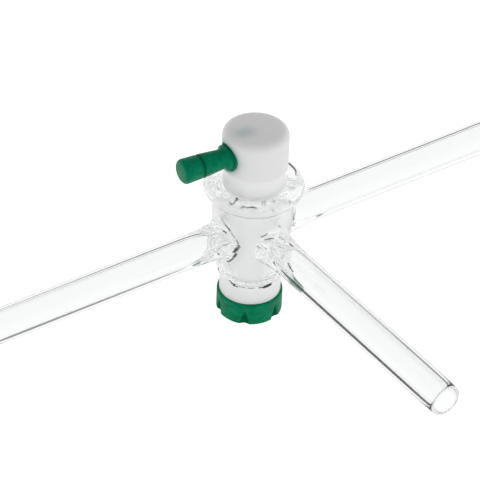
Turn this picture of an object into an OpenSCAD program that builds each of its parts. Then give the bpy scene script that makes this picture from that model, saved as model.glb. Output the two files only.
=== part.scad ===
// Three-way glass stopcock. A blown glass barrel carries two run tubes and one branch tube,
// fused on around it. A white plastic key turns in the barrel's ground 1:5 taper, has a T-shaped
// bore, and is drawn down into the taper by a washer, an O-ring and a nut on its stem.
//
// Millimetres, +Z up. The origin is on the key's axis, in the plane of the nut's underside, on
// which the stopcock stands. The run tubes lie along X, the branch tube along -Y, and the
// handle points along -X, apart from the small turn that the key has at rest.

/* [Glass barrel] */
// Height of the barrel, from its foot to the top of its rim
barrel_h = 26.5; // [24:0.5:30]
// Height of the side tubes' axis above the barrel's foot
tube_rise = 12.2; // [11:0.1:13.5]
// Outer diameter of the barrel's upper part, under the rim
shoulder_d = 19.4; // [19:0.2:22]
// Height of the cylindrical upper part, measured down from the rim's top
shoulder_h = 9.5; // [7:0.5:10]
// Outer diameter of the barrel just above its foot
foot_d = 15.4; // [15:0.1:16]
// Outer diameter across the rim's bead
rim_d = 24; // [23:0.1:25]
// Thickness of the rim's bead
rim_bead_d = 3.8; // [3.2:0.1:4.2]
// Depth of the mouth's inner edge below the top of the rim
mouth_drop = 0.7; // [0.4:0.1:1.2]
// Outer diameter across the foot's bead
foot_bead_od = 16.4; // [15.4:0.1:17]
// Thickness of the foot's bead
foot_bead_d = 2.5; // [2:0.1:3]

/* [Side tubes] */
// Outer diameter of the three side tubes
tube_od = 8; // [7:0.5:9]
// Wall of the side tubes
tube_wall = 1; // [0.8:0.1:1.4]
// Length of each run tube, from the key's axis to its open end
run_reach = 75; // [50:1:120]
// Length of the branch tube, from the key's axis to its open end
branch_reach = 75; // [50:1:120]
// Diameter to which a tube's foot flares at the barrel
flare_d = 10.2; // [9.4:0.1:11]
// Distance from the key's axis at which the flare begins
flare_reach = 17; // [14:0.5:24]
// Diameter of the port through the barrel's wall
port_d = 3.2; // [2.6:0.1:3.6]
// Length of the port, from the ground taper to the bottom of the tube's funnel
port_l = 2.3; // [2:0.1:3]
// Length over which a tube's inside narrows down to its port
funnel_l = 7; // [5:0.5:8]

/* [Key] */
// Diameter of the ground taper at the barrel's mouth
seat_d = 14.5; // [14:0.1:15]
// Length over which the taper's diameter grows by taper_gain
taper_run = 5; // [4.5:0.1:6]
// Growth of the taper's diameter over taper_run
taper_gain = 1; // [0.9:0.01:1.1]
// Radial running clearance between the key and the glass
running_gap = 0.03; // [0.02:0.01:0.08]
// Height of the bare neck between the barrel's mouth and the head
neck_h = 4.8; // [4:0.1:6]
// Diameter of the neck, at which the taper ends just above the mouth
neck_d = 14.6; // [14.5:0.1:15]
// Diameter of the head
head_d = 15.7; // [15.6:0.1:17]
// Height of the head
head_h = 10; // [9.5:0.1:12]
// Radius of the head's top edge
head_round = 1.8; // [0.8:0.1:2.5]
// Diameter of the T-shaped bore
bore_d = 2.5; // [2:0.1:2.8]
// Distance that the taper ends above the barrel's foot, left for drawing the key down
take_up = 0.8; // [0.5:0.1:1.5]
// Diameter of the stem under the taper
stem_d = 8; // [7.6:0.1:8.4]
// Distance across the stem's two flats
stem_flats = 6.5; // [6:0.1:7]
// Distance that the stem ends above the nut's underside
stem_short = 0.5; // [0.3:0.1:1.5]
// Turn of the key and its handle at rest, about the key's axis
key_turn = -3; // [-10:1:10]

/* [Handle] */
// Distance of the handle's tip from the key's axis
handle_reach = 20.1; // [18:0.1:30]
// Height of the handle's axis above the head's underside
handle_rise = 4.6; // [4.4:0.1:5]
// Diameter of the shank held inside the head
shank_d = 3.6; // [3:0.1:4]
// Distance of the shank's inner end from the key's axis
shank_from = 0.8; // [0:0.1:3]
// Diameter of the collar that seats in the head
collar_d = 6.7; // [6:0.1:7]
// Length of the collar's cylindrical part
collar_l = 1.4; // [1.2:0.1:2]
// Depth of the collar's seat, below the head's surface
collar_sink = 0.85; // [0.8:0.05:1]
// Radius of the hollow between the collar and the waist
collar_fillet = 0.95; // [0.6:0.05:1.2]
// Diameter of the handle's waist
waist_d = 4.8; // [4.2:0.1:5.2]
// Diameter of the handle at the groove
grip_d = 5.8; // [5.4:0.1:6.2]
// Length of the tip, outside the groove
tip_l = 4.7; // [4:0.1:6]
// Diameter of the tip at its end
tip_d = 6.1; // [5.8:0.1:6.6]
// Radius of the tip's end edge
tip_round = 0.9; // [0.4:0.1:1.2]
// Width of the groove around the handle
groove_w = 0.4; // [0.3:0.1:0.8]
// Depth of the groove
groove_depth = 0.35; // [0.2:0.05:0.5]
// Radial clearance between the handle and its seat in the head
seat_gap = 0.05; // [0.02:0.01:0.1]

/* [Washer, O-ring and nut] */
// Diameter of the washer
washer_d = 14.7; // [14.2:0.1:15.2]
// Height of the washer
washer_h = 5.4; // [4:0.1:6]
// Thickness of the O-ring
ring_d = 1.9; // [1.5:0.1:2.2]
// Diameter of the nut
nut_d = 15.8; // [15:0.1:17]
// Height of the nut
nut_h = 5.7; // [5:0.1:8]
// Chamfer of the nut's edges
nut_chamfer = 0.35; // [0.2:0.05:0.6]
// Number of grip notches around the nut
notch_count = 6; // [4:1:8]
// Radius of the rounded cutter that makes a notch
notch_r = 1.4; // [1:0.1:1.8]
// Depth of a notch at the nut's underside
notch_depth = 0.8; // [0.5:0.05:1.2]
// Height at which a notch runs out
notch_h = 4.9; // [4:0.1:4.9]
// Turn of the nut at rest, about the key's axis
nut_turn = 47; // [0:1:59]
// Gap between flat faces that turn against each other
face_gap = 0.05; // [0.02:0.01:0.1]
// Radial clearance of the washer and the nut on the stem
stem_gap = 0.06; // [0.03:0.01:0.1]

/* [Hidden] */
$fn = 72;
over = 1;                                    // how far a cutter passes the face that it opens

// Levels along the key's axis
washer_z = nut_h + face_gap;
foot_z = washer_z + washer_h + face_gap;
tube_z = foot_z + tube_rise;
rim_z = foot_z + barrel_h;
mouth_z = rim_z - mouth_drop;
shoulder_z = rim_z - shoulder_h;
taper_end_z = foot_z + take_up;
head_z = mouth_z + neck_h;
neck_z = mouth_z + (neck_d - seat_d) * taper_run / taper_gain;   // where the taper ends
top_z = head_z + head_h;
handle_z = head_z + handle_rise;

// Radii that follow from others
foot_bead_r = (foot_bead_od - foot_bead_d) / 2;
rim_bead_r = (rim_d - rim_bead_d) / 2;
tube_r = tube_od / 2;
tube_in_r = tube_r - tube_wall;
port_end = taper_r(tube_z) + port_l;         // where the funnel begins, from the key's axis
funnel_end = port_end + funnel_l;            // where the tube's full bore begins
barrel_side = barrel_r(tube_z);
flare_rise = flare_d / 2 - tube_r;
flare_run = flare_reach - barrel_side;
flare_arc = (flare_run * flare_run + flare_rise * flare_rise) / (2 * flare_rise);
ring_r = stem_d / 2 + stem_gap + ring_d / 2; // the circle through the O-ring's section
collar_from = head_d / 2 - collar_sink;
waist_from = collar_from + collar_l + collar_fillet;
groove_from = handle_reach - tip_l - groove_w;

// Radius of the ground taper at a height
function taper_r(z) = (seat_d + (z - mouth_z) * taper_gain / taper_run) / 2;

// Outer radius of the barrel between its foot and its shoulder
function barrel_r(z) = foot_d / 2
    + (shoulder_d - foot_d) / 2 * (z - foot_z - foot_bead_d) / (shoulder_z - foot_z - foot_bead_d);

// The three side tubes: direction and length
tubes = [[0, run_reach], [180, run_reach], [-90, branch_reach]];

// Places its children on the axis of a side tube, which runs along the children's own Z
module on_tube(direction)
    translate([0, 0, tube_z]) rotate([0, 0, direction]) rotate([0, 90, 0]) children();

// A round bead, as a full ring
module bead(centre_r, thickness, z)
    translate([0, 0, z]) rotate_extrude() translate([centre_r, 0]) circle(d = thickness);

// The barrel's outside: foot, taper, shoulder and rolled rim
module barrel_outside() {
    rotate_extrude() polygon([
        [0, foot_z],
        [foot_bead_r, foot_z],
        [foot_bead_r, foot_z + foot_bead_d / 2],
        [foot_d / 2, foot_z + foot_bead_d / 2],
        [foot_d / 2, foot_z + foot_bead_d],
        [shoulder_d / 2, shoulder_z],
        [shoulder_d / 2, mouth_z],
        [0, mouth_z]
    ]);
    bead(foot_bead_r, foot_bead_d, foot_z + foot_bead_d / 2);
    bead(rim_bead_r, rim_bead_d, rim_z - rim_bead_d / 2);
}

// The outside of a side tube, with the hollow curve of its foot
module tube_outside(reach) {
    cylinder(r = tube_r, h = reach);
    rotate_extrude() difference() {
        square([flare_d / 2, flare_reach]);
        translate([tube_r + flare_arc, flare_reach]) circle(r = flare_arc, $fn = 360);
    }
}

// The inside of a side tube: port, funnel and bore
module tube_inside(reach) {
    cylinder(d = port_d, h = port_end + over);
    translate([0, 0, port_end]) cylinder(r1 = port_d / 2, r2 = tube_in_r, h = funnel_l);
    translate([0, 0, funnel_end]) cylinder(r = tube_in_r, h = reach - funnel_end + over);
}

// The ground taper that the key turns in
module seat() {
    low = foot_z - over;
    high = rim_z + over;
    translate([0, 0, low])
        cylinder(r1 = taper_r(low) + running_gap, r2 = taper_r(high) + running_gap, h = high - low);
}

module glass_body() color([0.86, 0.93, 0.92, 0.4]) difference() {
    union() {
        barrel_outside();
        for (t = tubes) on_tube(t[0]) tube_outside(t[1]);
    }
    seat();
    for (t = tubes) on_tube(t[0]) tube_inside(t[1]);
}

// The head: a cylinder whose top edge is rounded
module head() {
    flat_r = head_d / 2 - head_round;
    translate([0, 0, head_z]) cylinder(d = head_d, h = head_h - head_round);
    translate([0, 0, top_z - head_round]) cylinder(r = flat_r, h = head_round);
    bead(flat_r, 2 * head_round, top_z - head_round);
}

// The stem: round, with two flats that keep the washer from turning
module stem() intersection() {
    translate([0, 0, stem_short]) cylinder(d = stem_d, h = taper_end_z - stem_short);
    translate([-stem_flats / 2, -stem_d, 0]) cube([stem_flats, 2 * stem_d, taper_end_z]);
}

// The handle's hole and the collar's seat, along the handle's own axis
module handle_seat() {
    translate([0, 0, shank_from])
        cylinder(r = shank_d / 2 + seat_gap, h = collar_from - shank_from + over);
    translate([0, 0, collar_from]) cylinder(r = collar_d / 2 + seat_gap, h = collar_sink + over);
}

// Turns its children with the key and lays their Z along the handle
module on_handle()
    rotate([0, 0, key_turn]) translate([0, 0, handle_z]) rotate([0, -90, 0]) children();

module key() color([0.93, 0.93, 0.92]) difference() {
    rotate([0, 0, key_turn]) difference() {
        union() {
            head();
            translate([0, 0, taper_end_z])
                cylinder(r1 = taper_r(taper_end_z), r2 = neck_d / 2, h = neck_z - taper_end_z);
            translate([0, 0, neck_z]) cylinder(d = neck_d, h = head_z - neck_z);
            stem();
        }
        translate([-seat_d, 0, tube_z]) rotate([0, 90, 0]) cylinder(d = bore_d, h = 2 * seat_d);
        translate([0, 0, tube_z]) rotate([90, 0, 0]) cylinder(d = bore_d, h = seat_d);
    }
    on_handle() handle_seat();
}

module handle() color([0, 0.42, 0.3]) on_handle() rotate_extrude() {
    difference() {
        polygon([
            [0, shank_from],
            [shank_d / 2, shank_from],
            [shank_d / 2, collar_from],
            [collar_d / 2, collar_from],
            [collar_d / 2, collar_from + collar_l],
            [collar_d / 2, waist_from],
            [waist_d / 2, waist_from],
            [grip_d / 2, groove_from],
            [grip_d / 2 - groove_depth, groove_from],
            [grip_d / 2 - groove_depth, groove_from + groove_w],
            [grip_d / 2, groove_from + groove_w],
            [tip_d / 2, handle_reach - tip_round],
            [tip_d / 2 - tip_round, handle_reach - tip_round],
            [tip_d / 2 - tip_round, handle_reach],
            [0, handle_reach]
        ]);
        translate([waist_d / 2 + collar_fillet, waist_from]) circle(r = collar_fillet);
    }
    translate([tip_d / 2 - tip_round, handle_reach - tip_round]) intersection() {
        circle(r = tip_round);
        square(tip_round);
    }
}

module washer() color([0.95, 0.95, 0.94]) rotate([0, 0, key_turn]) difference() {
    translate([0, 0, washer_z]) cylinder(d = washer_d, h = washer_h);
    intersection() {
        translate([0, 0, washer_z - over]) cylinder(r = stem_d / 2 + stem_gap, h = washer_h + 2 * over);
        translate([-stem_flats / 2 - stem_gap, -stem_d, 0])
            cube([stem_flats + 2 * stem_gap, 2 * stem_d, foot_z + over]);
    }
    translate([0, 0, washer_z - over])
        cylinder(r = ring_r + ring_d / 2 + stem_gap, h = ring_d + over);
}

module o_ring() color([0.12, 0.12, 0.12]) bead(ring_r, ring_d, washer_z + ring_d / 2 - face_gap / 2);

// A rounded cutter, tilted so that its notch is deepest at the nut's underside
module notch() {
    tilt = atan(notch_depth / notch_h);
    translate([nut_d / 2 - notch_depth + notch_r / cos(tilt), 0, 0]) rotate([0, tilt, 0])
        translate([0, 0, -over]) cylinder(r = notch_r, h = nut_h + 2 * over);
}

module nut() color([0, 0.45, 0.32]) rotate([0, 0, nut_turn]) difference() {
    rotate_extrude() polygon([
        [stem_d / 2 + stem_gap, 0],
        [nut_d / 2 - nut_chamfer, 0],
        [nut_d / 2, nut_chamfer],
        [nut_d / 2, nut_h - nut_chamfer],
        [nut_d / 2 - nut_chamfer, nut_h],
        [stem_d / 2 + stem_gap, nut_h]
    ]);
    for (i = [0 : notch_count - 1]) rotate([0, 0, i * 360 / notch_count]) notch();
}

glass_body();
key();
handle();
washer();
o_ring();
nut();
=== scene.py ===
"""Looks of a three-way glass stopcock: blown glass, a white fluoropolymer key and washer, a green
handle and a green nut. Shapes are made in millimetres and set down in metres."""

from math import atan, atan2, cos, hypot, pi, radians, sin, sqrt, tau

import bmesh
import bpy
from mathutils import Matrix, Vector, noise
from mathutils.bvhtree import BVHTree


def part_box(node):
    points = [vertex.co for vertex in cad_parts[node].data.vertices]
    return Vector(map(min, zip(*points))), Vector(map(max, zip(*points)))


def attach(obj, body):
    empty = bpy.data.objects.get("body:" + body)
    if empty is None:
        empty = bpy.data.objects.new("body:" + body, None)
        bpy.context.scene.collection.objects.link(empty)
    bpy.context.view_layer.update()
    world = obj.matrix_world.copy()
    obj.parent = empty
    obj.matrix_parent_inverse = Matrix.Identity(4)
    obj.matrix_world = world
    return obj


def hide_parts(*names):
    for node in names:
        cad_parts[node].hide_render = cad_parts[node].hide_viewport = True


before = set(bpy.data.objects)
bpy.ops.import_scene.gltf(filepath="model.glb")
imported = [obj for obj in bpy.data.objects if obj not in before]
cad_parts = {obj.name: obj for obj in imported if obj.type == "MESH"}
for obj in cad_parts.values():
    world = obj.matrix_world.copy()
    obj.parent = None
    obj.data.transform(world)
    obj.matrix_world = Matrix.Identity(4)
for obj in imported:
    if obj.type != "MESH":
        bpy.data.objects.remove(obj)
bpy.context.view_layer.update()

MM = 0.001


def extent(node, axis):
    """Lowest and highest level of a frame node along an axis, in millimetres."""
    low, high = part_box(node)
    return low[axis] / MM, high[axis] / MM


# Levels along the key's axis and reaches across it, from the frame
NUT_LOW, NUT_TOP = extent("nut", 2)
WASHER_LOW, WASHER_TOP = extent("washer", 2)
FOOT_Z, RIM_Z = extent("glass_body", 2)
STEM_LOW, HEAD_TOP = extent("key", 2)
REACH = extent("glass_body", 0)[1]
NUT_R = extent("nut", 0)[1]
WASHER_R = extent("washer", 0)[1]
HEAD_R = extent("key", 0)[1]

TUBE_Z = FOOT_Z + 12.2
MOUTH_Z = RIM_Z - 0.7
NECK_Z = MOUTH_Z + 0.5
HEAD_Z = MOUTH_Z + 4.8
HANDLE_Z = HEAD_Z + 4.6
TAPER_LOW = FOOT_Z + 0.06

# The side tubes and their directions
TUBE_R, BORE_R = 4.0, 3.0
ARMS = (0.0, pi, -pi / 2)
# The barrel's outer radius at the side tubes, and how much it grows with height
WALL_R, WALL_GROWTH = 9.04, 0.139
# The room that the ground seat leaves the key
SEAT_GAP = 0.03

# How far subdivision pulls in a ring of 24 or of 16 corners
BARREL_PULL, TUBE_PULL = 0.98864, 0.97463
BARREL_STEPS, TUBE_STEPS = 24, 16

# The key, and the stem that the washer's flats and the nut's thread fit
KEY_TURN = radians(-3)
MOUTH_R = 7.25
KEY_BORE_R = 1.25
STEM_R, STEM_FLAT = 4.0, 3.25
FIT_GAP = 0.06
STEM_HOLE_R = STEM_R + FIT_GAP
PITCH = 1.25
STACK_DROP = 3 * PITCH
NUT_TURN = radians(47)

# The handle: its shank in the key, its collar in the head, and its reach from the key's axis
SHANK_R, SHANK_FROM = 1.8, 0.8
COLLAR_R, COLLAR_FROM = 3.5, HEAD_R - 0.85
HANDLE_REACH = 20.1


def seat_r(z):
    """Radius of the key's 1:5 taper at a height."""
    return MOUTH_R + (z - MOUTH_Z) / 10


def smoothstep(low, high, value):
    """A smooth step from 0 to 1 while a value runs from low to high."""
    t = min(max((value - low) / (high - low), 0.0), 1.0)
    return t * t * (3 - 2 * t)


# ---------------------------------------------------------------- camera


def aim_camera():
    """A long lens that looks down on the stopcock from its front left."""
    turn, rise, lean = radians(-35.885), radians(37.367), radians(2.230)
    distance, off_right, off_up = 720.1, 2.742, 3.200
    right = Vector((cos(turn), sin(turn), 0))
    back = Vector((sin(turn) * cos(rise), -cos(turn) * cos(rise), sin(rise)))
    up = back.cross(right)
    target = Vector((0, 0, TUBE_Z)) - right * off_right - up * off_up
    leant_right = right * cos(lean) + up * sin(lean)
    leant_up = up * cos(lean) - right * sin(lean)
    placed = Matrix((leant_right, leant_up, back)).transposed().to_4x4()
    placed.translation = (target + back * distance) * MM
    lens = bpy.data.cameras.new("camera")
    lens.sensor_width = 36
    lens.lens = 228.93
    lens.clip_start = 0.05
    lens.clip_end = 50
    camera = bpy.data.objects.new("camera", lens)
    camera.matrix_world = placed
    bpy.context.scene.collection.objects.link(camera)
    bpy.context.scene.camera = camera


# ---------------------------------------------------------------- shaping


def soften(corners, points=6):
    """A profile from corners (r, z) or (r, z, radius): a radius rounds its corner."""
    profile = []
    for i, corner in enumerate(corners):
        here = Vector(corner[:2])
        if len(corner) < 3:
            profile.append(here)
            continue
        back = (Vector(corners[i - 1][:2]) - here).normalized()
        on = (Vector(corners[(i + 1) % len(corners)][:2]) - here).normalized()
        half = back.angle(on) / 2
        centre = here + (back + on).normalized() * corner[2] / sin(half)
        reach = corner[2] * cos(half) / sin(half)
        start, end = here + back * reach - centre, here + on * reach - centre
        profile += [centre + start.slerp(end, k / points).normalized() * corner[2]
                    for k in range(points + 1)]
    return profile


def lathe(profile, steps):
    """Spins a profile of (r, z) about the Z axis into a closed skin."""
    bm = bmesh.new()
    verts = [bm.verts.new((r, 0, z)) for r, z in profile]
    edges = [bm.edges.new(pair) for pair in zip(verts, verts[1:])]
    bmesh.ops.spin(bm, geom=verts + edges, cent=(0, 0, 0), axis=(0, 0, 1), angle=tau,
                   steps=steps, use_merge=True)
    bmesh.ops.remove_doubles(bm, verts=bm.verts, dist=1e-4)
    bmesh.ops.recalc_face_normals(bm, faces=bm.faces)
    return bm


def as_object(bm, name):
    """Sets a shape in millimetres down as an object in metres, at the origin."""
    bmesh.ops.scale(bm, vec=(MM, MM, MM), verts=bm.verts)
    mesh = bpy.data.meshes.new(name)
    bm.to_mesh(mesh)
    bm.free()
    thing = bpy.data.objects.new(name, mesh)
    bpy.context.scene.collection.objects.link(thing)
    return thing


def bake_modifiers(thing):
    """Replaces an object's mesh by what its modifiers make of it."""
    thing.data.update()
    graph = bpy.context.evaluated_depsgraph_get()
    made = bpy.data.meshes.new_from_object(thing.evaluated_get(graph))
    thing.modifiers.clear()
    thing.data = made


def cut_away(thing, cutters):
    """Takes cutters, given in millimetres, out of an object."""
    for number, cutter in enumerate(cutters):
        tool = as_object(cutter, f"{thing.name}_cutter_{number}")
        cut = thing.modifiers.new("cut", "BOOLEAN")
        cut.operation = "DIFFERENCE"
        cut.solver = "EXACT"
        cut.object = tool
        bpy.context.view_layer.update()
        bake_modifiers(thing)
        bpy.data.objects.remove(tool)


def drill(radius, length, placed, steps=48):
    """A cylinder that runs from the origin along Z, moved to its place."""
    bm = bmesh.new()
    bmesh.ops.create_cone(bm, cap_ends=True, segments=steps, radius1=radius, radius2=radius,
                          depth=length, matrix=placed @ Matrix.Translation((0, 0, length / 2)))
    return bm


def finish(thing, node, body, material, crease=35):
    """Smooths a piece, gives it its finish and lets it stand for its frame node."""
    for face in thing.data.polygons:
        face.use_smooth = True
    thing.data.set_sharp_from_angle(angle=radians(crease))
    thing.data.materials.clear()
    thing.data.materials.append(material)
    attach(thing, body)
    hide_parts(node)


# ---------------------------------------------------------------- glass


def around(vert, arm):
    """A corner's angle about a side tube's own axis."""
    side = -vert.co.x * sin(arm) + vert.co.y * cos(arm)
    return atan2(vert.co.z - TUBE_Z, side) % tau


def open_side(bm, arm, inside, half_height):
    """Takes out the faces where a side tube joins, and returns the hole's 16 corners in order."""
    def faces_tube(face):
        middle = face.calc_center_median()
        off = (atan2(middle.y, middle.x) - arm + pi) % tau - pi
        wall = hypot(middle.x, middle.y) < seat_r(middle.z) + 0.5
        return (abs(off) < radians(30) and abs(middle.z - TUBE_Z) < half_height
                and wall == inside)
    bmesh.ops.delete(bm, geom=[f for f in bm.faces if faces_tube(f)], context="FACES")
    rim = {v for e in bm.edges if e.is_boundary for v in e.verts}
    return sorted(rim, key=lambda v: (around(v, arm) + 0.02) % tau)


def ring_to(verts, arm, radius, wall_r, follow, along):
    """Lays 16 corners round a side tube's axis: on a curved wall, level, or in between."""
    for k, vert in enumerate(verts):
        angle = k * tau / TUBE_STEPS
        side, height = radius * cos(angle), radius * sin(angle)
        out = along
        if follow:
            out += follow * sqrt(wall_r(TUBE_Z + height) ** 2 - side ** 2)
        vert.co = (out * cos(arm) - side * sin(arm), out * sin(arm) + side * cos(arm),
                   TUBE_Z + height)


def draw_tube(bm, hole, arm, rings, wall_r):
    """Draws a tube's skin out of a hole, ring by ring, and returns its last ring."""
    first, *others = rings
    ring_to(hole, arm, first[0] / TUBE_PULL, wall_r, *first[1:])
    verts = hole
    for radius, follow, along in others:
        own = set(verts)
        edges = [e for e in bm.edges if e.is_boundary and set(e.verts) <= own]
        made = bmesh.ops.extrude_edge_only(bm, edges=edges)["geom"]
        verts = sorted((v for v in made if isinstance(v, bmesh.types.BMVert)),
                       key=lambda v: (around(v, arm) + 0.02) % tau)
        ring_to(verts, arm, radius / TUBE_PULL, wall_r, follow, along)
    return verts


def blow_glass():
    """The barrel and its three tubes as one closed skin of clear glass."""
    z = FOOT_Z
    # Half the height of the holes where a tube's skin and its bore leave the barrel
    hole, port = 4.72, 3.0
    outside = [
        (seat_r(MOUTH_Z) + 0.05, z + 25.5), (7.86, z + 25.76), (8.06, z + 25.84),
        (8.8, z + 26.14), (10.15, z + 26.54), (11.5, z + 26.0), (12.17, z + 24.65),
        (11.5, z + 23.3), (10.35, z + 22.5), (9.75, z + 21.8), (9.7, z + 19.6),
        (9.7, TUBE_Z + hole), (9.36, TUBE_Z + hole / 2), (WALL_R, TUBE_Z),
        (8.71, TUBE_Z - hole / 2), (8.39, TUBE_Z - hole), (8.05, z + 5.0), (7.75, z + 2.9),
        (8.0, z + 2.0), (8.3, z + 1.2), (8.0, z + 0.35), (7.2, z - 0.08), (6.0, z - 0.05),
        (4.85, z + 0.05),
    ]
    seat_rows = (z + 0.7, z + 3.9, TUBE_Z - port, TUBE_Z - port / 2, TUBE_Z, TUBE_Z + port / 2,
                 TUBE_Z + port, z + 20.5, z + 24.6, z + 25.3)
    profile = outside + [(seat_r(row) + SEAT_GAP, row) for row in seat_rows] + outside[:1]
    bm = lathe([(r / BARREL_PULL, h) for r, h in profile], BARREL_STEPS)

    def barrel_r(height):
        return (WALL_R + (height - TUBE_Z) * WALL_GROWTH) / BARREL_PULL

    def bore_r(height):
        return (seat_r(height) + SEAT_GAP) / BARREL_PULL

    # Each ring's radius, how far it follows the barrel's curve, and its place along the tube
    tube_skin = [(5.2, 1, 0), (4.8, 1, 0.55), (4.5, 0.5, 6.1), (4.22, 0, 12.7), (4.0, 0, 16.5),
                 (TUBE_R, 0, 22), (TUBE_R, 0, REACH - 0.7), (3.84, 0, REACH)]
    tube_bore = [(2.5, 1, 0), (1.75, 1, 0.12), (1.62, 1, 0.6), (1.6, 0, 8.2), (2.15, 0, 10.4),
                 (2.62, 0, 12.8), (3.0, 0, 16), (BORE_R, 0, 22), (BORE_R, 0, REACH - 0.7),
                 (3.16, 0, REACH)]
    for arm in ARMS:
        skin = draw_tube(bm, open_side(bm, arm, False, hole), arm, tube_skin, barrel_r)
        lip = {e for v in skin for e in v.link_edges if e.is_boundary}
        bmesh.ops.holes_fill(bm, edges=list(lip), sides=0)
        draw_tube(bm, open_side(bm, arm, True, port), arm, tube_bore, bore_r)
        plug = [f for f in skin[0].link_faces if len(f.verts) == TUBE_STEPS]
        bmesh.ops.delete(bm, geom=plug, context="FACES_ONLY")
        lips = [e for e in bm.edges if e.is_boundary]
        bmesh.ops.bridge_loops(bm, edges=lips)
    bmesh.ops.recalc_face_normals(bm, faces=bm.faces)
    glass = as_object(bm, "glass_barrel_and_tubes")
    rounding = glass.modifiers.new("rounding", "SUBSURF")
    rounding.levels = rounding.render_levels = 3
    bake_modifiers(glass)
    fit_and_flame(glass.data)
    return glass


# Painted dark glints in the glass's welds, rim and foot: half width in millimetres, darkness, and
# places as azimuth about the key in degrees, distance from its axis and height over the side tubes
# in millimetres
GLASS_PAINTED_GLINTS = (
    # The weld of the left tube
    (0.11, 0.70, (-176, 9.7, 7.5), (-171, 9.7, 6.7), (-166, 9.7, 5.9)),
    (0.23, 0.88, (-166, 9.7, 5.9), (-161, 9.7, 5.4), (-158, 9.6, 4.8)),
    (0.11, 0.70, (-157, 9.6, 4.4), (-153, 9.6, 3.8), (-150, 9.5, 3.1)),
    (0.16, 0.78, (-148, 9.5, 2.6), (-145, 9.4, 1.6)),
    (0.34, 0.75, (-145, 9.3, 1.0), (-144, 9.2, 0.5)),
    (0.52, 0.95, (-147, 9.4, 0.0), (-150, 9.6, -0.8)),
    (0.39, 0.90, (-149, 9.1, -1.8), (-152, 9.0, -2.8)),
    (0.23, 0.90, (-153, 8.9, -3.2), (-156, 8.7, -4.1)),
    (0.20, 0.85, (-156, 8.7, -4.1), (-162, 8.4, -5.2), (-169, 8.2, -5.9)),
    (0.20, 0.80, (-167, 10.2, 4.3), (-163, 10.0, 4.1)),
    (0.17, 0.85, (-162, 13.3, 0.1), (-161, 13.0, -0.4)),
    # The weld of the branch
    (0.16, 0.78, (-113, 9.7, 4.3), (-109, 9.7, 4.6), (-105, 9.8, 5.0)),
    (0.15, 0.75, (-108, 10.1, 3.7), (-104, 10.5, 4.0), (-99, 10.9, 4.3)),
    (0.14, 0.70, (-118, 9.8, 1.8), (-115, 10.3, 1.6)),
    (0.25, 0.80, (-88, 14.5, 4.1), (-88, 15.5, 4.0)),
    (0.18, 0.85, (-108, 12.7, -1.6), (-107, 13.3, -1.9)),
    (0.21, 0.75, (-99, 19.0, 2.6), (-99, 20.2, 2.3), (-99, 21.5, 2.1)),
    # The rim
    (0.30, 0.85, (-150, 9.6, 14.1), (-154, 8.0, 13.7)),
    (0.15, 0.75, (-156, 10.9, 14.0), (-152, 11.2, 13.8), (-150, 10.7, 14.1), (-151, 10.0, 14.1)),
    (0.18, 0.80, (-140, 11.4, 13.7), (-137, 11.0, 13.9)),
    (0.11, 0.70, (-137, 11.0, 13.9), (-133, 11.2, 13.8)),
    (0.17, 0.80, (-132, 11.1, 13.8), (-127, 10.9, 14.0), (-122, 11.1, 13.8)),
    (0.14, 0.72, (-111, 8.4, 13.7), (-114, 10.3, 14.2)),
    (0.14, 0.72, (-108, 8.7, 13.9), (-111, 10.5, 14.1)),
    (0.14, 0.70, (-96, 9.5, 14.1), (-98, 10.2, 14.1)),
    (0.14, 0.72, (-103, 11.5, 13.4), (-103, 11.8, 12.9)),
    (0.14, 0.70, (-78, 11.2, 13.8), (-79, 11.7, 13.2)),
    (0.14, 0.70, (168, 9.2, 14.1), (175, 9.4, 14.0)),
    # The barrel and the foot
    (0.10, 0.65, (-17, 10.5, 3.5), (-24, 10.2, 2.4)),
    (0.16, 0.70, (-87, 9.8, 6.3), (-84, 9.8, 5.9)),
    (0.25, 0.90, (164, 8.2, -10.6), (171, 8.2, -11.2)),
    (0.28, 0.90, (-161, 8.1, -11.3), (-158, 8.0, -11.7)),
    (0.18, 0.85, (-149, 8.0, -11.75), (-144, 8.0, -11.75)),
    (0.11, 0.75, (-141, 8.0, -11.75), (-128, 8.0, -11.75), (-115, 8.0, -11.75),
     (-103, 8.0, -11.75)),
    (0.28, 0.90, (-100, 8.0, -11.7), (-93, 8.0, -11.7), (-86, 8.0, -11.6)),
)

# A longer stroke would dip under the curved skin
LONGEST_STROKE = 0.9 * MM


def mark_segments(thing, marks):
    """The marks as straight strokes on the skin: width, darkness, start and end."""
    graph = bpy.context.evaluated_depsgraph_get()
    skin = BVHTree.FromObject(thing, graph)
    for half, dark, *places in marks:
        line = []
        for azimuth, radius, height in places:
            turn = radians(azimuth)
            place = Vector((radius * cos(turn), radius * sin(turn), TUBE_Z + height)) * MM
            line.append(skin.find_nearest(place)[0])
        for start, end in zip(line, line[1:]):
            pieces = max(1, round((end - start).length / LONGEST_STROKE))
            stops = [skin.find_nearest(start.lerp(end, k / pieces))[0] for k in range(pieces + 1)]
            for piece in zip(stops, stops[1:]):
                yield half * MM, dark, *piece


# How far the flame's lumps stand out: on the rim's crown and edge, at the welds, on the foot
FLUTE_LIFT, CROWN_LIFT, EDGE_LIFT, WELD_LIFT, FOOT_LIFT = 0.12, 0.08, 0.04, 0.08, 0.07


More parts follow.
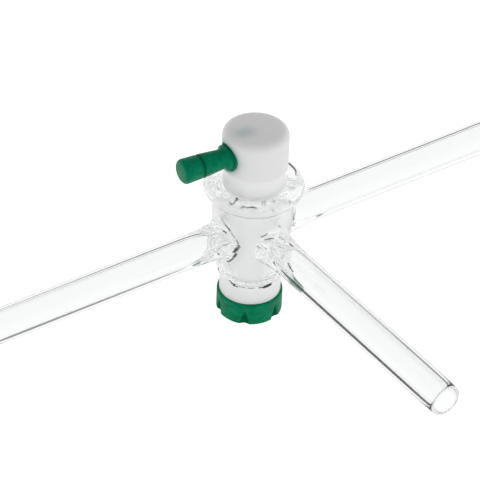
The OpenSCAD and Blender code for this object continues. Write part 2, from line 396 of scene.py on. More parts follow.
def fit_and_flame(mesh):
    """Grinds the seat true and gives the rim, the welds and the foot the lumps of flame work."""
    mesh.update()
    moves = []
    for vert in mesh.vertices:
        here, out = vert.co / MM, vert.normal
        r, height = hypot(here.x, here.y), here.z - FOOT_Z
        off_axis = min(
            hypot(here.z - TUBE_Z, here.y) if abs(here.x) > abs(here.y) else 99,
            hypot(here.z - TUBE_Z, here.x) if here.y < 0 else 99)
        seat = seat_r(here.z) + SEAT_GAP
        inwards = out.x * here.x + out.y * here.y < 0
        if inwards and abs(r - seat) < 0.4 and 0.4 < height < 25.5 and off_axis > 1.9:
            share = smoothstep(1.9, 2.6, off_axis)
            scale = 1 + share * (seat / r - 1)
            moves.append((vert.index, Vector((here.x * scale, here.y * scale, here.z))))
            continue
        turn = atan2(here.y, here.x)
        rim = smoothstep(22.2, 23.6, height) * smoothstep(8.1, 8.7, r)
        crown = rim * smoothstep(11.2, 9.6, r) * smoothstep(24.6, 25.8, height)
        flutes = noise.noise(Vector((cos(turn) * 9, sin(turn) * 9, r * 0.35)))
        lumps = noise.noise(Vector((here.x, here.y, here.z * 1.4)) * 0.62)
        lift = crown * (FLUTE_LIFT * flutes + CROWN_LIFT * lumps)
        lift += (rim - crown) * EDGE_LIFT * (lumps - 0.6)
        weld = smoothstep(7.6, 8.6, r) * smoothstep(17.0, 11.0, r) * smoothstep(7.5, 6.0, off_axis)
        lift += weld * WELD_LIFT * noise.noise(here * 0.55 + Vector((31, 7, 2)))
        foot = smoothstep(2.6, 1.2, height) * smoothstep(6.4, 7.4, r)
        lift += foot * FOOT_LIFT * noise.noise(here * 0.7 + Vector((3, 17, 40)))
        if lift:
            moves.append((vert.index, here + out * lift))
    for index, place in moves:
        mesh.vertices[index].co = place * MM
    mesh.update()


# ---------------------------------------------------------------- key and handle


def handle_place():
    """From the handle's own frame, with Z along it, to its place in the key."""
    return (Matrix.Rotation(KEY_TURN, 4, "Z") @ Matrix.Translation((0, 0, HANDLE_Z))
            @ Matrix.Rotation(-pi / 2, 4, "Y"))


def turn_key():
    """The key: head, taper and threaded stem with two flats, drilled for the T-bore and handle."""
    neck_r, end_r = seat_r(NECK_Z), seat_r(TAPER_LOW)
    rows, thread_depth = 48, 0.62
    thread = [(STEM_R, TAPER_LOW - 0.05 - (TAPER_LOW - 0.35 - STEM_LOW) * k / rows)
              for k in range(rows)]
    side = [(HEAD_R, HEAD_Z + 0.7 * k) for k in range(11, 0, -1)]
    profile = soften([
        (0, HEAD_TOP), (HEAD_R, HEAD_TOP, 1.8), *side, (HEAD_R, HEAD_Z, 0.22),
        (neck_r, HEAD_Z, 0.15), (neck_r, NECK_Z), (end_r, TAPER_LOW), (STEM_R, TAPER_LOW)])
    profile += thread + [(STEM_R - 0.5, STEM_LOW), (0, STEM_LOW)]
    bm = lathe(profile, 96)
    for vert in bm.verts:
        r = hypot(vert.co.x, vert.co.y)
        if vert.co.z < WASHER_LOW + 1.5 and r > STEM_R - 0.2:
            phase = (vert.co.z / PITCH - atan2(vert.co.y, vert.co.x) / tau) % 1
            cut = thread_depth * smoothstep(0.05, 0.5, min(phase, 1 - phase))
            vert.co.xy *= (r - cut) / r
        if vert.co.z < TAPER_LOW - 0.01:
            vert.co.x = min(max(vert.co.x, -STEM_FLAT), STEM_FLAT)
    bmesh.ops.rotate(bm, matrix=Matrix.Rotation(KEY_TURN, 3, "Z"), verts=bm.verts)
    key = as_object(bm, "fluoropolymer_key")
    # The T-bore's drill reaches past the taper's skin, and the handle's has a little room
    drill_reach, shank_gap, collar_gap = 12, 0.05, 0.02
    turned = Matrix.Rotation(KEY_TURN, 4, "Z")
    across = (turned @ Matrix.Translation((-drill_reach, 0, TUBE_Z))
              @ Matrix.Rotation(pi / 2, 4, "Y"))
    branch = turned @ Matrix.Translation((0, 0, TUBE_Z)) @ Matrix.Rotation(pi / 2, 4, "X")
    place = handle_place()
    cut_away(key, [
        drill(KEY_BORE_R, 2 * drill_reach, across), drill(KEY_BORE_R, drill_reach, branch),
        drill(SHANK_R + shank_gap, COLLAR_FROM, place @ Matrix.Translation((0, 0, SHANK_FROM))),
        drill(COLLAR_R + collar_gap, 4, place @ Matrix.Translation((0, 0, COLLAR_FROM)), 96)])
    return key


def mould_handle():
    """The handle: a collar in the head, a waist, a groove and a rounded tip."""
    collar_end = COLLAR_FROM + 1.4
    hollow_r = 1.1
    waist_from = collar_end + hollow_r
    grip_r, groove_r, tip_r = 2.9, 2.3, 3.05
    groove_from = HANDLE_REACH - 5.2
    groove_end = groove_from + 0.7
    hollow = [(COLLAR_R - hollow_r * sin(a), waist_from - hollow_r * cos(a))
              for a in (radians(k * 10) for k in range(2, 10))]
    profile = soften([
        (0, SHANK_FROM), (SHANK_R, SHANK_FROM, 0.2), (SHANK_R, COLLAR_FROM),
        (COLLAR_R, COLLAR_FROM), (COLLAR_R, collar_end, 0.25)])
    profile += soften(hollow + [
        (grip_r, groove_from, 0.1), (groove_r, groove_from, 0.08), (groove_r, groove_end, 0.08),
        (grip_r, groove_end, 0.1), (tip_r, HANDLE_REACH - 0.08, 0.9), (0, HANDLE_REACH)])
    bm = lathe(profile, 96)
    bmesh.ops.transform(bm, matrix=handle_place(), verts=bm.verts)
    return as_object(bm, "green_handle")


# ---------------------------------------------------------------- washer and nut

# Painted dark glints of the glass foot, drawn on the washer's side and given as the glass's glints
# are
WASHER_PAINTED_GLINTS = (
    (0.17, 0.85, (-163, 7.35, -12.5), (-155, 7.35, -12.4)),
    (0.17, 0.85, (-155, 7.35, -12.4), (-158, 7.35, -12.9)),
    (0.15, 0.80, (-158, 7.35, -12.9), (-149, 7.35, -12.85)),
    (0.09, 0.60, (-146, 7.35, -12.6), (-134, 7.35, -12.6)),
    (0.09, 0.60, (-130, 7.35, -12.65), (-118, 7.35, -12.65)),
    (0.17, 0.75, (-108, 7.35, -12.7), (-99, 7.35, -12.75)),
    (0.36, 0.90, (-98, 7.35, -12.8), (-84, 7.35, -12.75)),
)


def turn_washer():
    """The washer: a flat-sided hole that keeps it on the stem, and a seat for the O-ring."""
    ring = 1.9
    seat, seat_top = STEM_HOLE_R + ring + FIT_GAP, WASHER_LOW + ring
    profile = soften([
        (STEM_HOLE_R, WASHER_TOP), (WASHER_R, WASHER_TOP, 0.15), (WASHER_R, WASHER_LOW, 0.15),
        (seat, WASHER_LOW, 0.08), (seat, seat_top, 0.2), (STEM_HOLE_R, seat_top)])
    bm = lathe(profile + profile[:1], 96)
    for vert in bm.verts:
        if hypot(vert.co.x, vert.co.y) < STEM_HOLE_R + 0.02:
            vert.co.x = min(max(vert.co.x, -STEM_FLAT - FIT_GAP), STEM_FLAT + FIT_GAP)
    bmesh.ops.rotate(bm, matrix=Matrix.Rotation(KEY_TURN, 3, "Z"), verts=bm.verts)
    return as_object(bm, "fluoropolymer_washer")


def mould_nut():
    """The nut: six tongue-shaped finger notches, deepest at the underside."""
    depth, run_out, cutter, chamfer, rows = 0.8, 4.9, 1.4, 0.35, 30
    thread_depth, edge_blur = 0.5, 0.1
    tilt = atan(depth / run_out)
    side = [(NUT_R, chamfer + (NUT_TOP - 2 * chamfer) * k / rows) for k in range(rows + 1)]
    crown = [(NUT_R - chamfer * (1 - sin(a)), NUT_TOP - chamfer * (1 - cos(a)))
             for a in (radians(90 - k * 18) for k in range(1, 6))]
    toe = [(NUT_R - chamfer * (1 - cos(a)), chamfer * (1 - sin(a)))
           for a in (radians(90 - k * 18) for k in range(5))]
    hole = [(STEM_HOLE_R, 0.45 + (NUT_TOP - 0.9) * k / 40) for k in range(41)]
    profile = (toe + side + crown + [(STEM_HOLE_R + 0.4, NUT_TOP)] + hole[::-1]
               + [(STEM_HOLE_R + 0.4, NUT_LOW)] + toe[:1])
    bm = lathe(profile, 216)
    sixth = tau / 6
    for vert in bm.verts:
        r, turn = hypot(vert.co.x, vert.co.y), atan2(vert.co.y, vert.co.x)
        if r > NUT_R - 2:
            off = (turn + sixth / 2) % sixth - sixth / 2
            across = r * sin(off)
            if abs(across) < cutter:
                middle = (NUT_R - depth + cutter / cos(tilt) + vert.co.z * depth / run_out)
                wall = middle - sqrt(cutter ** 2 - across ** 2)
            else:
                wall = r + 1
            blend = min(max(0.5 + 0.5 * (wall - r) / edge_blur, 0), 1)
            soft = wall + (r - wall) * blend - edge_blur * blend * (1 - blend)
            soft = min(soft, r)
            vert.co.xy *= soft / r
        elif abs(r - STEM_HOLE_R) < 0.02:
            phase = (vert.co.z / PITCH - turn / tau) % 1
            cut = thread_depth * smoothstep(0.05, 0.5, min(phase, 1 - phase))
            vert.co.xy *= (r + cut) / r
    bmesh.ops.rotate(bm, matrix=Matrix.Rotation(NUT_TURN, 3, "Z"), verts=bm.verts)
    return as_object(bm, "green_nut")


# ---------------------------------------------------------------- nodes


def feed(tree, node, values):
    """Gives each input a plain value, or links it to another node's output."""
    for name, value in values.items():
        if isinstance(value, bpy.types.NodeSocket):
            tree.links.new(value, node.inputs[name])
        else:
            node.inputs[name].default_value = value


def add(tree, kind, values=None, **settings):
    """A node with its settings and what its inputs are fed."""
    node = tree.nodes.new(kind)
    for name, value in settings.items():
        setattr(node, name, value)
    feed(tree, node, values or {})
    return node


def calculate(tree, operation, *values, **settings):
    """What an operation makes of numbers, which may be other nodes' outputs."""
    node = add(tree, "ShaderNodeMath", dict(enumerate(values)), operation=operation, **settings)
    return node.outputs[0]


def combine(tree, operation, *values):
    """The same for vectors. A length, a distance and a dot product come out as a number."""
    node = add(tree, "ShaderNodeVectorMath", dict(enumerate(values)), operation=operation)
    plain = operation in ("LENGTH", "DISTANCE", "DOT_PRODUCT")
    return node.outputs["Value" if plain else "Vector"]


def scale(tree, vector, factor):
    """A vector or a colour made larger or smaller by a factor."""
    node = add(tree, "ShaderNodeVectorMath", {0: vector, "Scale": factor}, operation="SCALE")
    return node.outputs["Vector"]


def ease(tree, value, span, ends=(0.0, 1.0), way="SMOOTHSTEP"):
    """Runs from one end to the other while a value crosses a span."""
    node = add(tree, "ShaderNodeMapRange", {
        "Value": value, "From Min": span[0], "From Max": span[1], "To Min": ends[0],
        "To Max": ends[1]}, interpolation_type=way)
    return node.outputs["Result"]


def grey_ramp(tree, share, stops):
    """A grey that follows a share, by stops of a share and its grey."""
    ramp = add(tree, "ShaderNodeValToRGB", {"Fac": share})
    band = ramp.color_ramp
    while len(band.elements) < len(stops):
        band.elements.new(0.5)
    for stop, (position, grey) in zip(band.elements, stops):
        stop.position = position
        stop.color = (grey, grey, grey, 1)
    return ramp.outputs["Color"]


def tint(tree, colour, share, towards):
    """Multiplies a colour by another, by a share that a mask gives."""
    mix = add(tree, "ShaderNodeMix", {0: share, 6: colour, 7: (*towards, 1)}, data_type="RGBA",
              blend_type="MULTIPLY")
    return mix.outputs[2]


def piece_place(tree):
    """The place on a piece, in metres from the stopcock's origin."""
    return add(tree, "ShaderNodeTexCoord").outputs["Object"]


def height_of(tree, place):
    """A place's height."""
    return add(tree, "ShaderNodeSeparateXYZ", {0: place}).outputs["Z"]


def reach_of(tree, place):
    """A place's distance from the key's axis."""
    return combine(tree, "LENGTH", combine(tree, "MULTIPLY", place, (1, 1, 0)))


def between(tree, height, low, high):
    """1 between two levels in millimetres, 0 above and below."""
    return calculate(tree, "COMPARE", height, (low + high) / 2 * MM, (high - low) / 2 * MM)


def new_group(name, inputs, outputs):
    """A node group, the values that come into it, and the node by which they leave."""
    group = bpy.data.node_groups.new(name, "ShaderNodeTree")
    for way, sockets in (("INPUT", inputs), ("OUTPUT", outputs)):
        for socket, kind in sockets.items():
            group.interface.new_socket(socket, in_out=way, socket_type=f"NodeSocket{kind}")
    return group, add(group, "NodeGroupInput").outputs, add(group, "NodeGroupOutput")


def new_finish(name):
    """A material, its nodes and its surface."""
    material = bpy.data.materials.new(name)
    material.use_nodes = True
    return material, material.node_tree, material.node_tree.nodes["Principled BSDF"]


# ---------------------------------------------------------------- plastics

# Gloss that stays green, for the handle and the nut
GREEN_GLOSS = {"sheen": (0.1, 0.8, 0.55), "gloss": 0.18}


def mottling_group():
    """Faint cloudy colour and fine relief, shared by the plastics and the rubber."""
    group, into, out = new_group("mottling", {
        "Vector": "Vector", "Colour": "Color", "Cloud size": "Float", "Cloud depth": "Float",
        "Grain size": "Float", "Roughness": "Float",
    }, {"Colour": "Color", "Roughness": "Float", "Height": "Float"})
    clouds = add(group, "ShaderNodeTexNoise", {
        "Vector": into["Vector"], "Scale": into["Cloud size"], "Detail": 3.0, "Roughness": 0.55})
    grain = add(group, "ShaderNodeTexNoise", {
        "Vector": into["Vector"], "Scale": into["Grain size"], "Detail": 2.0, "Roughness": 0.6})
    centred = calculate(group, "SUBTRACT", clouds.outputs["Fac"], 0.5)
    deep = calculate(group, "MULTIPLY_ADD", centred, into["Cloud depth"], 1.0)
    feed(group, out, {
        "Colour": scale(group, into["Colour"], deep),
        "Roughness": calculate(group, "MULTIPLY_ADD", centred, 0.25, into["Roughness"]),
        "Height": grain.outputs["Fac"]})
    return group


def moulded_finish(name, mottling, colour, roughness, cloud=(250, 0.1), grain=(4000, 0.12),
                   sheen=(1, 1, 1), stretch=(1, 1, 1), gloss=0.5):
    """A moulded plastic or rubber: a cloudy colour and a fine grain under a soft gloss."""
    material, tree, surface = new_finish(name)
    cloudy = add(tree, "ShaderNodeGroup", {
        "Vector": combine(tree, "MULTIPLY", piece_place(tree), stretch), "Colour": (*colour, 1),
        "Cloud size": cloud[0], "Cloud depth": cloud[1], "Grain size": grain[0],
        "Roughness": roughness}, node_tree=mottling)
    relief = add(tree, "ShaderNodeBump", {
        "Strength": grain[1], "Distance": 0.05 * MM, "Height": cloudy.outputs["Height"]})
    feed(tree, surface, {
        "Base Color": cloudy.outputs["Colour"], "Roughness": cloudy.outputs["Roughness"],
        "Normal": relief.outputs["Normal"], "Specular IOR Level": gloss,
        "Specular Tint": (*sheen, 1)})
    return material, tree, surface, cloudy


def handle_painted_shade_group():
    """How much painted green shade the white takes around the handle's collar and over its shank's
    inner end.
    """
    group, into, out = new_group(
        "handle_painted_shade", {"Vector": "Vector"}, {"Collar": "Float", "Shank": "Float"})

    def reckon(operation, *values):
        return calculate(group, operation, *values)

    # The place in millimetres, measured from the handle's axis at the key's axis
    from_foot = combine(group, "MULTIPLY", into["Vector"], (1 / MM,) * 3)
    here = combine(group, "SUBTRACT", from_foot, (0, 0, HANDLE_Z))
    outwards = (-cos(KEY_TURN), -sin(KEY_TURN), 0)
    along = combine(group, "DOT_PRODUCT", here, outwards)
    apart = combine(group, "DISTANCE", here, scale(group, outwards, along))

    # Around the collar the painted shade dies out within a millimetre or two
    full_to, fading, face_from = 3.4, 0.6, 4.0
    fade = reckon("DIVIDE", reckon("SUBTRACT", full_to, apart), fading)
    front = reckon("GREATER_THAN", along, face_from)
    collar = reckon("MULTIPLY", reckon("MINIMUM", reckon("EXPONENT", fade), 1.0), front)

    # On top of the head it is a faint cloud of painted shade over the shank's inner end
    cloud_from, cloud_to, spread = 2.4, 3.6, 3.6
    nearest = reckon("MINIMUM", reckon("MAXIMUM", along, cloud_from), cloud_to)
    past = reckon("SUBTRACT", along, nearest)
    squares = reckon("ADD", reckon("POWER", apart, 2.0), reckon("POWER", past, 2.0))
    depth = HEAD_TOP - HANDLE_Z
    cloud = reckon("EXPONENT", reckon("DIVIDE", reckon("SUBTRACT", depth ** 2, squares), spread))
    top = reckon("GREATER_THAN", height_of(group, here), depth - 0.8)
    shank = reckon("MULTIPLY", reckon("MINIMUM", cloud, 1.0), top)
    feed(group, out, {"Collar": collar, "Shank": shank})
    return group


def fluoropolymer_finish(name, mottling, tones):
    """Waxy white fluoropolymer, with a grey at each level along the key's axis: on the key these
    greys are painted light and shade.
    """
    material, tree, surface, cloudy = moulded_finish(
        name, mottling, (1, 1, 1), 0.42, cloud=(170, 0.05), grain=(2600, 0.1))
    low, high = tones[0][0], tones[-1][0]
    share = ease(tree, height_of(tree, piece_place(tree)), (low * MM, high * MM), way="LINEAR")
    stops = [((level - low) / (high - low), grey) for level, grey in tones]
    feed(tree, cloudy, {"Colour": grey_ramp(tree, share, stops)})
    feed(tree, surface, {
        "Subsurface Weight": 0.6, "Subsurface Radius": (1.0, 1.0, 1.0),
        "Subsurface Scale": 2.2 * MM})
    return material, tree, surface, cloudy


def painted_glow(tree, surface, wall, levels, strength):
    """A painted glow that lightens the faces that the glass hides and leaves dark.

    They lie between two levels and inside a wall, given by its radius at height 0 and by how
    much that grows with height.
    """
    place = piece_place(tree)
    height = height_of(tree, place)
    wall_r, growth = wall
    edge = calculate(tree, "MULTIPLY_ADD", height, growth, wall_r * MM)
    inside = calculate(tree, "LESS_THAN", reach_of(tree, place), edge)
    hidden = calculate(tree, "MULTIPLY", inside, between(tree, height, *levels))
    painted_light = calculate(tree, "MULTIPLY", hidden, strength)
    feed(tree, surface, {"Emission Color": painted_light, "Emission Strength": 1.0})


def key_finish(mottling):
    """The key's white, with painted light and shade by height, painted green shade around the
    handle and a painted glow inside the glass.
    """
    # Painted shade where the key meets the glass's mouth, and painted light on the neck below the
    # head
    material, tree, surface, cloudy = fluoropolymer_finish("white_fluoropolymer", mottling, (
        (MOUTH_Z - 1.0, 0.83), (MOUTH_Z, 0.74), (MOUTH_Z + 1.4, 0.86), (MOUTH_Z + 3.0, 0.91),
        (HEAD_Z - 0.05, 0.91), (HEAD_Z + 0.05, 0.85), (HEAD_TOP, 0.85)))
    painted_light = add(tree, "ShaderNodeGroup", {"Vector": piece_place(tree)},
               node_tree=handle_painted_shade_group())
    # Painted green shade around the collar and over the shank, where the handle darkens the
    # translucent white
    tinted = tint(tree, cloudy.outputs["Colour"], painted_light.outputs["Collar"], (0.25, 0.48, 0.46))
    tinted = tint(tree, tinted, painted_light.outputs["Shank"], (0.73, 0.81, 0.82))
    feed(tree, surface, {"Base Color": tinted})
    # A painted glow on the key's faces inside the glass
    painted_glow(tree, surface, (seat_r(0) - 0.1, 0.1), (FOOT_Z, MOUTH_Z), 0.16)
    return material


def washer_finish(mottling, marks):
    """The washer's white, with the glass foot's painted dark glints and a painted glow on its
    hidden top.
    """
    material, tree, surface, cloudy = fluoropolymer_finish(
        "white_fluoropolymer_washer", mottling, ((WASHER_LOW, 0.86), (WASHER_TOP, 0.86)))
    # Painted dark glints of the glass foot
    marked = add(tree, "ShaderNodeGroup", {"Vector": piece_place(tree)}, node_tree=marks)
    feed(tree, surface, {
        "Base Color": scale(tree, cloudy.outputs["Colour"], marked.outputs["Left"])})
    # A painted glow on the washer's hidden top
    painted_glow(tree, surface, (WASHER_R - 0.3, 0), (WASHER_TOP - 0.02, WASHER_TOP + 0.02), 0.1)
    return material


def nut_finish(mottling):
    """The nut's green, drawn out around it, with painted shade down in the notches, which are also
    matt.
    """
    material, tree, surface, cloudy = moulded_finish(
        "green_nut_plastic", mottling, (0.0005, 0.18, 0.08), 0.5, cloud=(420, 1.4),
        stretch=(1, 1, 3), **GREEN_GLOSS)
    place = piece_place(tree)
    depth = ease(tree, reach_of(tree, place), ((NUT_R - 0.04) * MM, (NUT_R - 0.4) * MM))
    below = calculate(tree, "LESS_THAN", height_of(tree, place), (NUT_TOP - 0.4) * MM)
    notch = calculate(tree, "MULTIPLY", depth, below)
    # Painted shade down in the notches, which are also rougher
    feed(tree, surface, {
        "Base Color": tint(tree, cloudy.outputs["Colour"], notch, (0.1, 0.5, 0.45)),
        "Roughness": calculate(tree, "MULTIPLY_ADD", notch, 0.45, cloudy.outputs["Roughness"])})
    return material


# ---------------------------------------------------------------- marks and glass

# The glass's bending of light, the roughness where it is ground, and its clear colour
GLASS_IOR = 1.474
GROUND_ROUGHNESS = 0.5
CLEAR_COLOUR = (0.985, 0.995, 0.992)
# How deep the rim's radial streaks are beside the small ripples, and how dark glass is edge on
RIM_STREAKS = 8.0
EDGE_SHADE = 0.35


def stroke_group():
    """How much a straight stroke with a soft edge leaves of the light: 1 away from the stroke."""
    group, into, out = new_group("stroke", {
        "Vector": "Vector", "Start": "Vector", "Span": "Vector", "Gain": "Float",
        "Offset": "Float", "Half width": "Float", "Fade": "Float", "Clear": "Float",
        "Left": "Float",
    }, {"Left": "Float"})
    along = combine(group, "DOT_PRODUCT", into["Vector"], into["Span"])
    share = calculate(group, "MULTIPLY_ADD", along, into["Gain"], into["Offset"], use_clamp=True)
    nearest = combine(group, "ADD", scale(group, into["Span"], share), into["Start"])
    apart = combine(group, "DISTANCE", into["Vector"], nearest)
    fall = ease(group, apart, (into["Half width"], into["Fade"]), (into["Clear"], 1.0), "LINEAR")
    feed(group, out, {"Left": calculate(group, "MULTIPLY", fall, into["Left"])})
    return group


def marks_group(name, stroke, segments):
    """All the painted dark glints of a piece, a little wavy: 1 is clear of them."""
    group, into, out = new_group(name, {"Vector": "Vector"}, {"Left": "Float"})
    wave = add(group, "ShaderNodeTexNoise", {
        "Vector": into["Vector"], "Scale": 1600.0, "Detail": 1.0})
    centred = combine(group, "SUBTRACT", wave.outputs["Color"], (0.5, 0.5, 0.5))
    wavy = combine(group, "MULTIPLY_ADD", centred, (0.22 * MM,) * 3, into["Vector"])
    left = 1.0
    for half, dark, start, end in segments:
        span = end - start
        gain = 1 / span.length_squared
        left = add(group, "ShaderNodeGroup", {
            "Vector": wavy, "Start": start, "Span": span, "Gain": gain,
            "Offset": -start.dot(span) * gain, "Half width": half * 0.6, "Fade": half * 1.3,
            "Clear": 1 - dark, "Left": left}, node_tree=stroke).outputs["Left"]
    # Squared, because glass takes the root of its colour at each crossing
    feed(group, out, {"Left": calculate(group, "POWER", left, 2.0)})
    return group


def ground_mask_group():
    """Where the glass is ground matt: the seat of the key and the narrow bevel at its mouth."""
    group, into, out = new_group("ground_glass", {"Vector": "Vector"}, {"Ground": "Float"})
    reach, height = reach_of(group, into["Vector"]), height_of(group, into["Vector"])
    zones = []
    for edge, low, high in ((7.5, FOOT_Z - 0.2, MOUTH_Z), (8.0, MOUTH_Z - 0.4, MOUTH_Z + 0.3)):
        near = ease(group, reach, ((edge - 0.05) * MM, (edge + 0.05) * MM), (1.0, 0.0), "LINEAR")
        zones.append(calculate(group, "MULTIPLY", near, between(group, height, low, high)))
    feed(group, out, {"Ground": calculate(group, "MAXIMUM", *zones)})
    return group


def flamed_relief_group():
    """Fine relief of flame work: small ripples, and radial streaks on the rim."""
    group, into, out = new_group("flamed_relief", {"Vector": "Vector"}, {"Height": "Float"})
    ripples = add(group, "ShaderNodeTexNoise", {
        "Vector": into["Vector"], "Scale": 260.0, "Detail": 1.0})
    # A streak is narrow around the key and long away from it
    away = combine(group, "NORMALIZE", combine(group, "MULTIPLY", into["Vector"], (1, 1, 0)))
    fanned = combine(group, "MULTIPLY", away, (14.0,) * 3)
    spread = combine(group, "MULTIPLY_ADD", into["Vector"], (350.0,) * 3, fanned)
    radial = add(group, "ShaderNodeTexNoise", {"Vector": spread, "Scale": 1.0, "Detail": 2.0})
    high = ease(group, height_of(group, into["Vector"]),
                ((RIM_Z - 2.6) * MM, (RIM_Z - 1.2) * MM))
    on_rim = calculate(group, "MULTIPLY", radial.outputs["Fac"], high)
    feed(group, out, {"Height": calculate(
        group, "MULTIPLY_ADD", on_rim, RIM_STREAKS, ripples.outputs["Fac"])})
    return group


def clear_glass_finish(marks):
    """Clear glass with painted dark glints and flame-work relief, ground matt where the key sits.
    """
    material, tree, surface = new_finish("clear_glass")
    place = piece_place(tree)
    ground, marked, flamed = (
        add(tree, "ShaderNodeGroup", {"Vector": place}, node_tree=group).outputs[0]
        for group in (ground_mask_group(), marks, flamed_relief_group()))
    relief = add(tree, "ShaderNodeBump", {
        "Strength": 0.05, "Distance": 0.2 * MM, "Height": flamed})
    # Glass seen edge on is a little darker, which draws its outline from every side
    facing = add(tree, "ShaderNodeLayerWeight", {"Blend": 0.5}).outputs["Facing"]
    edge = ease(tree, facing, (0.62, 0.92), (1.0, EDGE_SHADE))
    left = calculate(tree, "MULTIPLY", marked, edge)
    feed(tree, surface, {
        "IOR": GLASS_IOR, "Transmission Weight": 1.0, "Metallic": 0.0,
        "Roughness": calculate(tree, "MULTIPLY", ground, GROUND_ROUGHNESS),
        "Base Color": scale(tree, CLEAR_COLOUR, left),
        "Normal": relief.outputs["Normal"]})
    return material


# ---------------------------------------------------------------- studio

# Brightness of the tent by height: -1 is straight down, 0 the horizon, 1 straight up
TENT_FOR_MATT = ((-1.0, 1.1), (0.0, 1.1), (0.24, 1.1), (0.6, 0.62), (1.0, 0.42))
TENT_FOR_GLOSS = ((-1.0, 1.0), (0.0, 1.0), (0.3, 0.7), (0.6, 0.12), (1.0, 0.05))
TENT_THROUGH_GLASS = ((-1.0, 1.0), (0.0, 1.0), (1.0, 0.95))
# The side that is lit a little more, and by how much
LIT_FROM = (cos(radians(-20)), sin(radians(-20)), 0.0)
LIT_LEAN = 0.15
# Dark cards: azimuth and its half width, height and its half width, in degrees, and darkness
DARK_CARDS = (
    (2, 26, -65.5, 1.5, 0.8),
    (111, 18, -50, 10.0, 1.0),
    (46, 17, -2, 6, 0.85),
    (122, 14, -26, 5, 0.9),
)
# How soft a card's edges are, across and upright, in degrees
CARD_SOFTNESS = (6, 2.5)


def lay_floor():
    """A wide pale floor just under the nut's lowest place, with only a breath of shadow."""
    bm = bmesh.new()
    bmesh.ops.create_circle(bm, cap_ends=True, segments=96, radius=6000)
    bmesh.ops.translate(bm, vec=(0, 0, NUT_LOW - STACK_DROP - 0.05), verts=bm.verts)
    floor = as_object(bm, "studio_floor")
    material, tree, surface = new_finish("pale_floor")
    seen = add(tree, "ShaderNodeLightPath").outputs["Is Camera Ray"]
    feed(tree, surface, {
        "Base Color": (0.85, 0.85, 0.85, 1), "Roughness": 1.0, "Specular IOR Level": 0.0,
        "Emission Color": (1, 1, 1, 1),
        "Emission Strength": ease(tree, seen, (0.0, 1.0), (0.4, 0.68), "LINEAR")})
    floor.data.materials.append(material)
    floor.visible_transmission = False
    floor.visible_glossy = False


def window_group():
    """How far a value lies inside a window with soft edges: 1 inside, 0 outside."""
    group, into, out = new_group("soft_window", {
        "Value": "Float", "Middle": "Float", "Half width": "Float", "Softness": "Float",
    }, {"Inside": "Float"})
    off = calculate(group, "SUBTRACT", into["Value"], into["Middle"])
    edge = calculate(group, "ADD", into["Half width"], into["Softness"])
    fall = ease(group, calculate(group, "ABSOLUTE", off), (into["Half width"], edge), (1.0, 0.0))
    feed(group, out, {"Inside": fall})
    return group


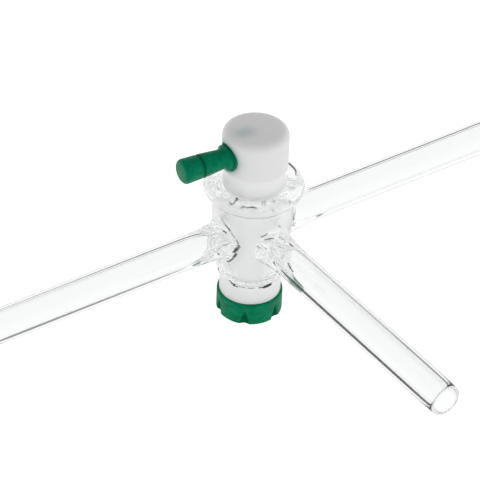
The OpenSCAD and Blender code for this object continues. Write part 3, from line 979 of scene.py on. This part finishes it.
def light_studio():
    """A white tent, dimmer overhead, with dark cards that draw the edges of the clear glass."""
    world = bpy.data.worlds.new("studio")
    world.use_nodes = True
    bpy.context.scene.world = world
    tree = world.node_tree
    tree.nodes.clear()
    towards = add(tree, "ShaderNodeTexCoord").outputs["Generated"]
    split = add(tree, "ShaderNodeSeparateXYZ", {0: towards}).outputs
    level = ease(tree, split["Z"], (-1.0, 1.0), way="LINEAR")
    for_matt, for_gloss, clear = (
        grey_ramp(tree, level, [((height + 1) / 2, grey) for height, grey in tent])
        for tent in (TENT_FOR_MATT, TENT_FOR_GLOSS, TENT_THROUGH_GLASS))
    side = combine(tree, "DOT_PRODUCT", towards, LIT_FROM)
    for_matt = scale(tree, for_matt, calculate(tree, "MULTIPLY_ADD", side, LIT_LEAN, 1.0))

    # The dark cards are seen only through the glass
    azimuth = calculate(tree, "ARCTAN2", split["Y"], split["X"])
    height = calculate(tree, "ARCSINE", split["Z"])
    window = window_group()
    for turn, half_turn, rise, half_rise, depth in DARK_CARDS:
        across, upright = (
            add(tree, "ShaderNodeGroup", {
                "Value": value, "Middle": radians(middle), "Half width": radians(half),
                "Softness": radians(softness)}, node_tree=window).outputs["Inside"]
            for value, middle, half, softness in zip(
                (azimuth, height), (turn, rise), (half_turn, half_rise), CARD_SOFTNESS))
        card = calculate(tree, "MULTIPLY", across, upright)
        clear = scale(tree, clear, calculate(tree, "MULTIPLY_ADD", card, -depth, 1.0))

    def light(colour):
        background = add(tree, "ShaderNodeBackground", {"Color": colour, "Strength": 1.0})
        return background.outputs[0]

    path = add(tree, "ShaderNodeLightPath").outputs
    shown = light(for_gloss)
    for flag, colour in (("Is Transmission Ray", clear), ("Is Diffuse Ray", for_matt),
                         ("Is Camera Ray", (1, 1, 1, 1))):
        shown = add(tree, "ShaderNodeMixShader", {0: path[flag], 1: shown, 2: light(colour)})
        shown = shown.outputs[0]
    add(tree, "ShaderNodeOutputWorld", {"Surface": shown})


def set_exposure():
    """A plain view of the light, with paths long enough to get out of the glass."""
    scene = bpy.context.scene
    scene.view_settings.view_transform = "Standard"
    scene.view_settings.look = "None"
    bounces = 48
    scene.cycles.max_bounces = bounces
    scene.cycles.transmission_bounces = bounces
    scene.cycles.glossy_bounces = bounces
    scene.cycles.blur_glossy = 0


# ---------------------------------------------------------------- assembly

aim_camera()
mottling, stroke = mottling_group(), stroke_group()

glass = blow_glass()
# The glass's painted dark glints, as strokes on its skin
glass_painted_glints = marks_group("glass_painted_glints", stroke, mark_segments(glass, GLASS_PAINTED_GLINTS))
finish(glass, "glass_body", "glass", clear_glass_finish(glass_painted_glints), crease=60)

finish(turn_key(), "key", "plug", key_finish(mottling))

handle_green = moulded_finish(
    "green_handle_plastic", mottling, (0.001, 0.185, 0.09), 0.34, cloud=(900, 0.9),
    grain=(3000, 0.4), **GREEN_GLOSS)[0]
finish(mould_handle(), "handle", "plug", handle_green)

washer = turn_washer()
# The glass foot's painted dark glints, as strokes on the washer's side
washer_painted_glints = marks_group("washer_painted_glints", stroke, mark_segments(washer, WASHER_PAINTED_GLINTS))
finish(washer, "washer", "stack",
       washer_finish(mottling, washer_painted_glints))

finish(mould_nut(), "nut", "nut", nut_finish(mottling))

rubber = moulded_finish("black_rubber", mottling, (0.02, 0.02, 0.02), 0.6)[0]
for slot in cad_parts["o_ring"].material_slots:
    slot.material = rubber

lay_floor()
light_studio()
set_exposure()
